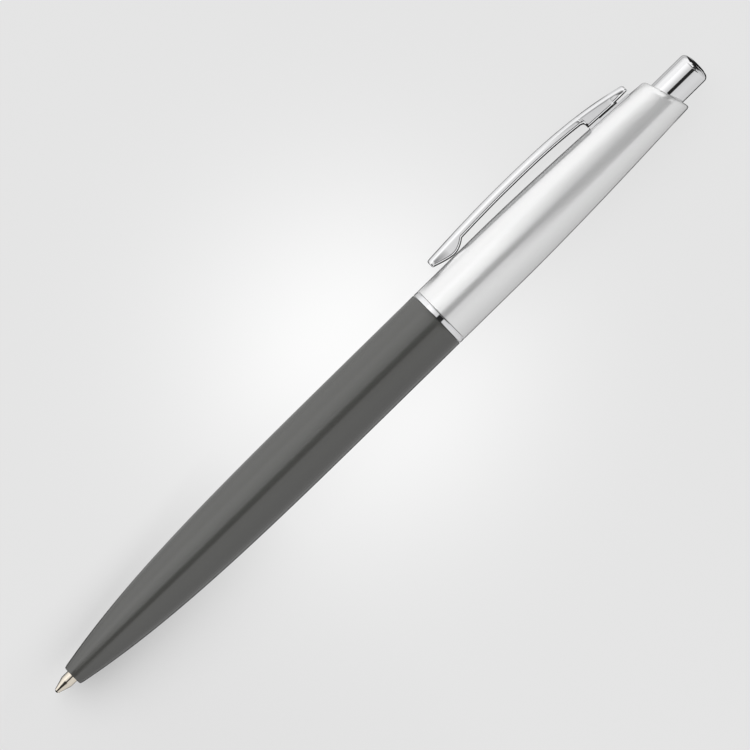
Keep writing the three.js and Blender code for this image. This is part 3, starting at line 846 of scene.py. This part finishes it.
def make_floor_finish():
    finish = bpy.data.materials.new("floor")
    finish.use_nodes = True
    nodes = Nodes(finish.node_tree)
    finish.node_tree.nodes.remove(finish.node_tree.nodes["Principled BSDF"])
    split = nodes.add("ShaderNodeSeparateXYZ")
    nodes.link(nodes.add("ShaderNodeTexCoord").outputs["Object"], split.inputs[0])
    x, y = split.outputs["X"], split.outputs["Y"]
    path = nodes.add("ShaderNodeLightPath").outputs

    def squared(value, scale):
        return nodes.maths("POWER", nodes.maths("MULTIPLY", value, scale), 2)

    # The colour that shows, with its painted pool of light, and the level that reflections see, with
    # its painted shade
    reach = 1 / PAINTED_GLOW_RADIUS
    apart = nodes.maths("ADD", squared(x, reach), squared(y, reach * math.cos(ROLL)))
    glow = nodes.maths("EXPONENT", nodes.maths("MULTIPLY", apart, -1))
    shown = nodes.mix(glow, grey(PALE), grey(WHITE))
    clear_of_painted_shade = nodes.maths("SUBTRACT", 1, covered_by_painted_shade(nodes, x, y), clamp=True)
    side = nodes.ranged(y, MIRRORED_SHADE_GREY, MIRRORED_WHITE, start=GREY_TO, end=WHITE_FROM)
    mirrored = nodes.maths("MULTIPLY", side, nodes.maths("MAXIMUM", clear_of_painted_shade, PAINTED_SHADE_LEVEL))
    colour = nodes.mix(path["Is Glossy Ray"], shown, mirrored)

    # How much of it is the floor's own light, a painted glow: for the camera it fills in the pen's
    # shadow but towards the tip, for reflections it is a fixed share
    own_along = nodes.ranged(x, TIP_GLOW, MAIN_GLOW, start=TIP_GLOW_TO, end=MAIN_GLOW_FROM)
    own_across = nodes.ranged(y, TIP_GLOW, MAIN_GLOW, start=0, end=CLIP_SIDE_GLOW_FROM)
    own = nodes.maths("MAXIMUM", own_along, own_across)
    seen = nodes.maths("ADD", path["Is Camera Ray"], path["Is Transmission Ray"], clamp=True)
    seen_part = nodes.maths("MULTIPLY", seen, own)
    mirrored_part = nodes.maths("MULTIPLY", path["Is Glossy Ray"], MIRRORED_GLOW)

    diffuse = nodes.add("ShaderNodeBsdfDiffuse")
    emission = nodes.add("ShaderNodeEmission")
    mix = nodes.add("ShaderNodeMixShader")
    nodes.link(colour, diffuse.inputs["Color"])
    nodes.link(colour, emission.inputs["Color"])
    nodes.link(nodes.maths("ADD", seen_part, mirrored_part), mix.inputs["Fac"])
    nodes.link(diffuse.outputs[0], mix.inputs[1])
    nodes.link(emission.outputs[0], mix.inputs[2])
    nodes.link(mix.outputs[0], finish.node_tree.nodes["Material Output"].inputs["Surface"])
    return finish


def make_floor():
    mesh = bpy.data.meshes.new("floor")
    corners = [(a * FLOOR_HALF, b * FLOOR_HALF, 0) for a, b in SQUARE]
    mesh.from_pydata(corners, [], [(0, 1, 2, 3)])
    mesh.materials.append(make_floor_finish())
    floor = bpy.data.objects.new("floor", mesh)
    bpy.context.scene.collection.objects.link(floor)


make_floor()

# Studio: white on the clip's side, a dark gap where the camera stands, light grey opposite.
# A ramp gives the level at an angle about the pen, in degrees from the camera's side towards
# the side away from the clip, less the shift below.
STUDIO = [
    (-180, 0.9), (-120, 0.98), (-100, 1.06), (-84, 1.11), (-67, 1.15), (-53, 1.17), (-40, 1.09),
    (-33, 0.97), (-26, 0.87), (-20, 0.77), (-13, 0.68), (-6, 0.65), (-4.5, 0.02), (16.5, 0.02),
    (18, 0.66), (30, 0.67), (48, 0.70), (70, 0.70), (88, 0.67), (108, 0.64), (125, 0.66),
    (180, 0.62),
]
# Seen by the tapered end of the upper barrel, where the clip's side darkens early
STUDIO_TAPER = [
    (-180, 0.9), (-120, 0.96), (-97, 1.05), (-87, 0.98), (-77, 0.86), (-67, 0.70), (-59, 0.48),
    (-52, 0.32), (-44, 0.14), (-37, 0.08), (-30, 0.10), (-22, 0.16), (-14, 0.24), (-6, 0.28),
    (-4.5, 0.02), (20.5, 0.02), (22, 0.66), (30, 0.67), (48, 0.70), (70, 0.70), (88, 0.67),
    (108, 0.64), (125, 0.66), (180, 0.62),
]
# Seen by the button's round edge, where the gap widens to a wedge, and by its outermost part
STUDIO_BUTTON_EDGE = [
    (-180, 0.6), (-150, 0.9), (-91, 1.0), (-50, 1.0), (-33, 0.95), (-30, 0.04), (-4, 0.04),
    (-2, 0.62), (101, 0.6), (180, 0.5),
]
STUDIO_BUTTON_END = [
    (-180, 0.05), (-139, 0.05), (-119, 0.6), (-84, 1.0), (-62, 0.95), (-54, 0.04), (20, 0.04),
    (26, 0.62), (71, 0.6), (101, 0.05), (180, 0.05),
]
# Seen by the writing point's cone
STUDIO_TIP_END = [
    (-180, 0.95), (-60, 1.0), (-32, 0.9), (-28, 0.04), (30, 0.04), (34, 0.66), (180, 0.62),
]
RAMP_PEAK = 2.0

# Where they take over, and the shift and the black ends come in, as a reflection turns along the
# pen: the lengthwise part of its direction, from 0 to 1, towards the button or else the tip
TAPER_FROM, TAPER_TO = 0.040, 0.095
BUTTON_EDGE_FROM, BUTTON_EDGE_TO = 0.17, 0.28
BUTTON_END_FROM, BUTTON_END_TO = 0.5, 0.75
TIP_END_FROM, TIP_END_TO = 0.3, 0.45
SHIFT_FROM, SHIFT_TO = 0.045, 0.12
SHIFT_DEGREES = 24
BLACK_FROM, BLACK_TO, BLACK_LEVEL = 0.78, 0.9, 0.04


def make_studio():
    world = bpy.data.worlds.new("studio")
    bpy.context.scene.world = world
    world.use_nodes = True
    nodes = Nodes(world.node_tree)
    background = world.node_tree.nodes["Background"]
    direction = nodes.add("ShaderNodeTexCoord").outputs["Generated"]

    def component(axis):
        node = nodes.add("ShaderNodeVectorMath", operation="DOT_PRODUCT")
        node.inputs[1].default_value = axis
        nodes.link(direction, node.inputs[0])
        return node.outputs["Value"]

    lengthwise = component((1, 0, 0))
    turn = nodes.maths("ARCTAN2", component(-CLIP_SIDE), component(FACE_SIDE))
    shift = nodes.ranged(lengthwise, 0, math.radians(SHIFT_DEGREES), start=SHIFT_FROM, end=SHIFT_TO)
    share = nodes.maths("DIVIDE", nodes.maths("SUBTRACT", turn, shift), 2 * math.pi)
    position = nodes.maths("ADD", share, 0.5, clamp=True)

    def ramp(stops):
        node = nodes.add("ShaderNodeValToRGB")
        elements = node.color_ramp.elements
        while len(elements) < len(stops):
            elements.new(0.5)
        for element, (degrees, _) in zip(elements, stops):
            element.position = degrees / 360 + 0.5
        for element, (_, level) in zip(elements, stops):
            element.color = grey(level / RAMP_PEAK)
        nodes.link(position, node.inputs["Fac"])
        return node.outputs["Color"]

    level = ramp(STUDIO)
    for stops, start, end in [
        (STUDIO_TAPER, TAPER_FROM, TAPER_TO),
        (STUDIO_BUTTON_EDGE, BUTTON_EDGE_FROM, BUTTON_EDGE_TO),
        (STUDIO_BUTTON_END, BUTTON_END_FROM, BUTTON_END_TO),
        (STUDIO_TIP_END, -TIP_END_FROM, -TIP_END_TO),
    ]:
        taken_over = nodes.ranged(lengthwise, 0, 1, start=start, end=end)
        level = nodes.mix(taken_over, level, ramp(stops))
    apart = nodes.maths("ABSOLUTE", lengthwise)
    kept = nodes.ranged(apart, 1, BLACK_LEVEL, start=BLACK_FROM, end=BLACK_TO)
    dimmed = nodes.add("ShaderNodeVectorMath", operation="SCALE")
    nodes.link(level, dimmed.inputs[0])
    nodes.link(kept, dimmed.inputs["Scale"])
    camera_ray = nodes.add("ShaderNodeLightPath").outputs["Is Camera Ray"]
    seen = nodes.mix(camera_ray, dimmed.outputs[0], grey(PALE / RAMP_PEAK))
    nodes.link(seen, background.inputs["Color"])
    background.inputs["Strength"].default_value = RAMP_PEAK


make_studio()

# Key light from the clip's side, kept out of reflections
KEY_ELEVATION = math.radians(38)
KEY_STRENGTH = 2.5
KEY_SPREAD = math.radians(35)


def make_key_light():
    key = bpy.data.objects.new("key", bpy.data.lights.new("key", "SUN"))
    key.data.energy = KEY_STRENGTH
    key.data.angle = KEY_SPREAD
    key.rotation_euler = (-(math.pi / 2 - KEY_ELEVATION), 0, 0)
    key.visible_glossy = False
    bpy.context.scene.collection.objects.link(key)


make_key_light()

bpy.context.view_layer.update()
